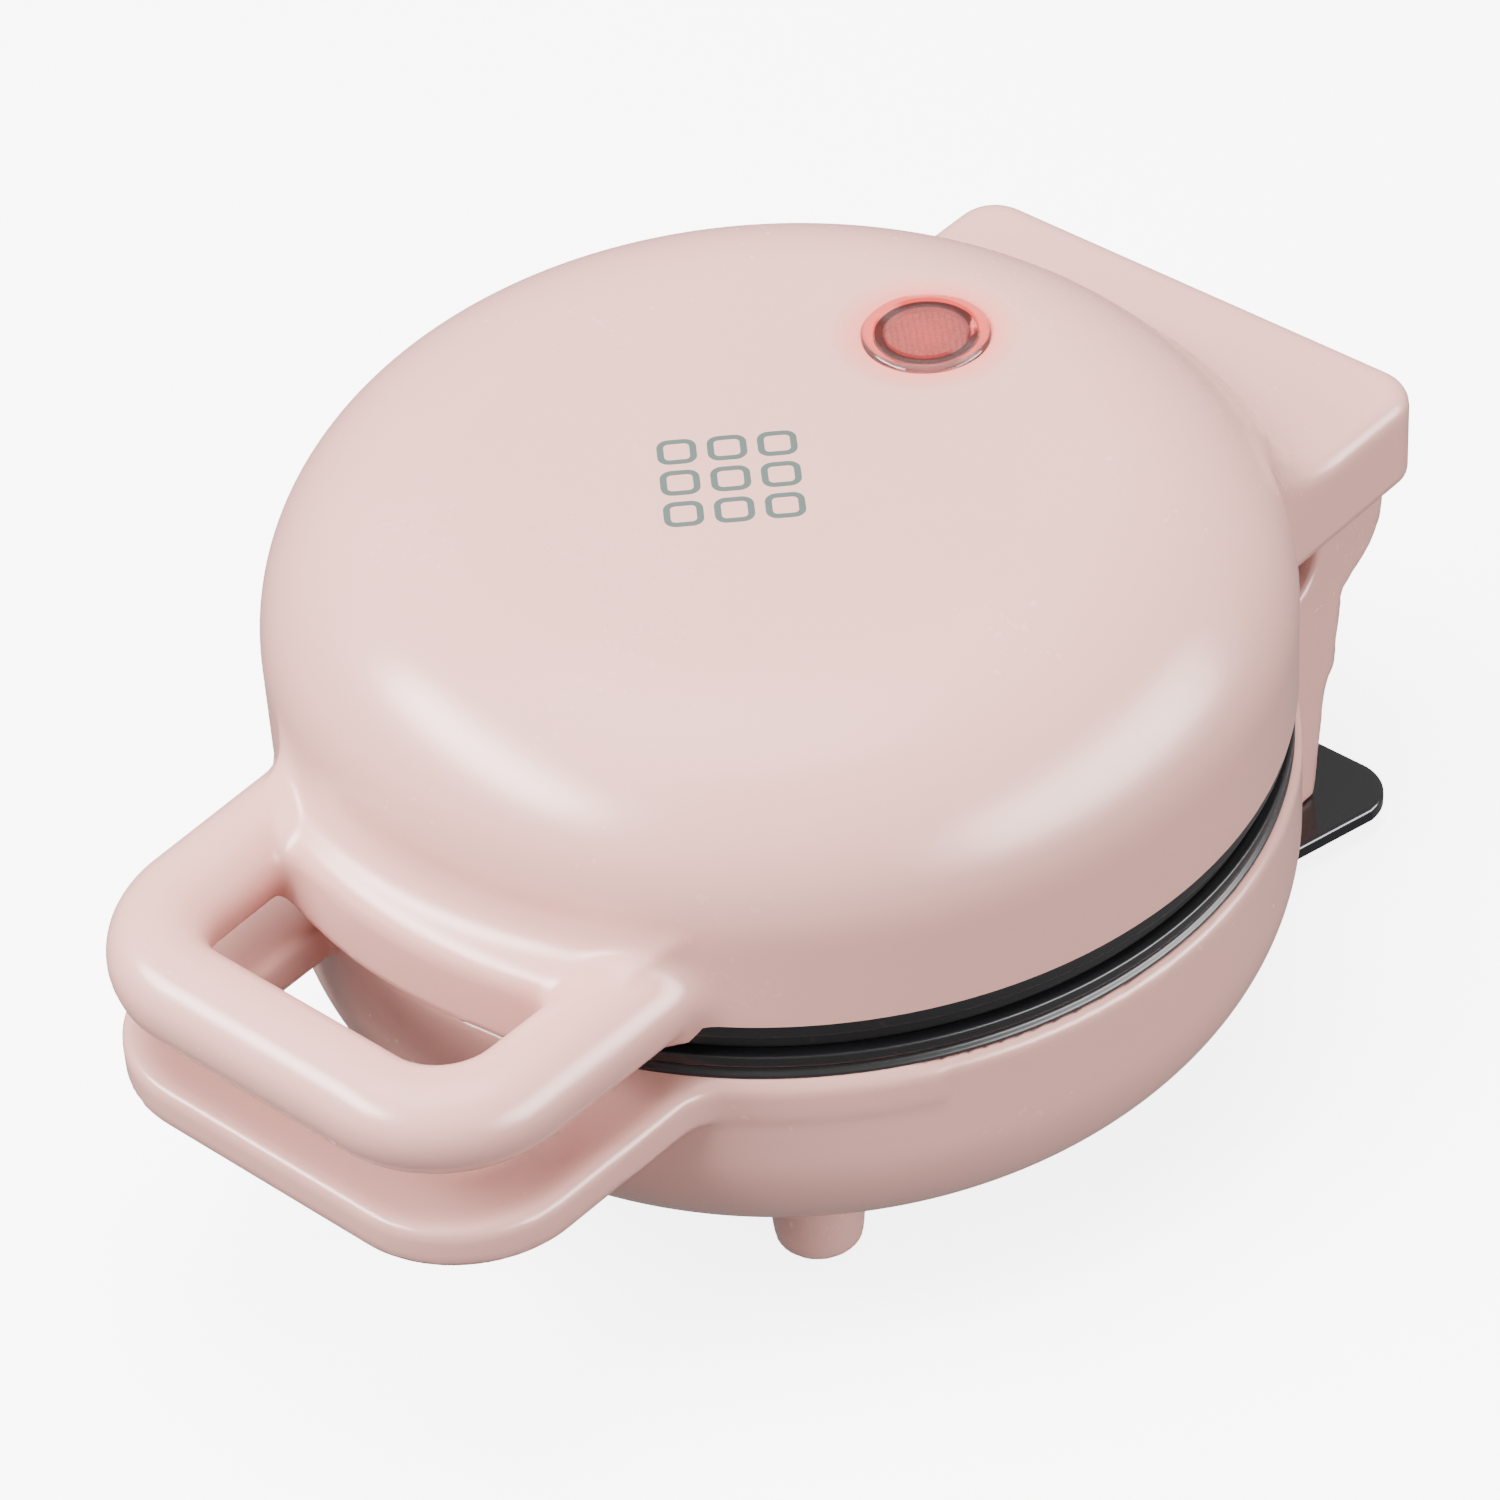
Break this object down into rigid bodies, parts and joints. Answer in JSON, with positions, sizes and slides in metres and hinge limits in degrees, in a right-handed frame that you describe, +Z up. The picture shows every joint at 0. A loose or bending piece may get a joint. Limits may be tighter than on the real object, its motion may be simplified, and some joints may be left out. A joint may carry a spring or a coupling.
{
  "type": "waffle maker",
  "caption": "Round compact waffle maker: domed lid with loop handle hinged at the rear over a bowl-shaped base on feet, patterned plates, indicator lens and cord-wrap flange.",
  "frame": {"origin": "middle of the whole outline seen from above, on the table", "axes": "+Z up, +Y from the handles towards the hinge, +X to the right seen from the handles"},
  "size_m": [0.1312, 0.185, 0.0907],
  "materials": {
    "pink_housing": "satin moulded plastic",
    "grey_rubber": "matte",
    "gloss_black": "glossy moulded plastic",
    "black_rubber": "matte",
    "black_trim": "satin",
    "non_stick": "non-stick coating",
    "element_steel": "dull steel tube",
    "tag_brass": "plain",
    "bright_sheet": "bright sheet",
    "ceramic_body": "unglazed",
    "white_nylon": "natural nylon",
    "lead_white": "silicone insulation",
    "sleeve_glass": "woven glass sleeve",
    "red_lens": "clear red",
    "red_diffuser": "faceted clear red",
    "lamp_glass": "clear",
    "screw_steel": "zinc plated"
  },
  "bodies": {
    "base": {"base_housing": "pink_housing", "foot_pads": "grey_rubber", "cord_wrap_plate": "gloss_black", "cord_plate_screws": "screw_steel", "base_post_screws": "screw_steel", "cord_gland": "black_rubber", "lower_trim_ring": "black_trim", "lower_cooking_plate": "non_stick", "lower_heater": "element_steel", "lower_heater_tags": "tag_brass", "lower_reflector": "bright_sheet", "lower_reflector_screws": "screw_steel", "thermostat": "ceramic_body", "thermostat_bracket": "bright_sheet", "terminal_block": "white_nylon", "terminal_screws": "tag_brass", "base_leads": "lead_white", "riser_leads": "sleeve_glass", "hinge_sleeve": "sleeve_glass", "hinge_pins": "screw_steel"},
    "lid": {"lid_housing": "pink_housing", "lid_handle_cover": "pink_housing", "lid_handle_screws": "screw_steel", "lid_post_screws": "screw_steel", "upper_trim_ring": "black_trim", "upper_cooking_plate": "non_stick", "upper_heater": "element_steel", "upper_heater_tags": "tag_brass", "upper_reflector": "bright_sheet", "upper_reflector_screws": "screw_steel", "thermal_fuse": "bright_sheet", "fuse_clip": "bright_sheet", "lid_leads": "sleeve_glass", "indicator_lens": "red_lens", "lens_diffuser": "red_diffuser", "lens_lock_ring": "bright_sheet", "indicator_lamp": "lamp_glass", "lamp_holder": "black_trim"}
  },
  "joints": [
    {"name": "lid_hinge", "type": "hinge", "parent": "base", "child": "lid", "pos_m": [0, 0.0777, 0.0474], "axis": [-1, 0, 0], "range_deg": [0, 100]}
  ]
}
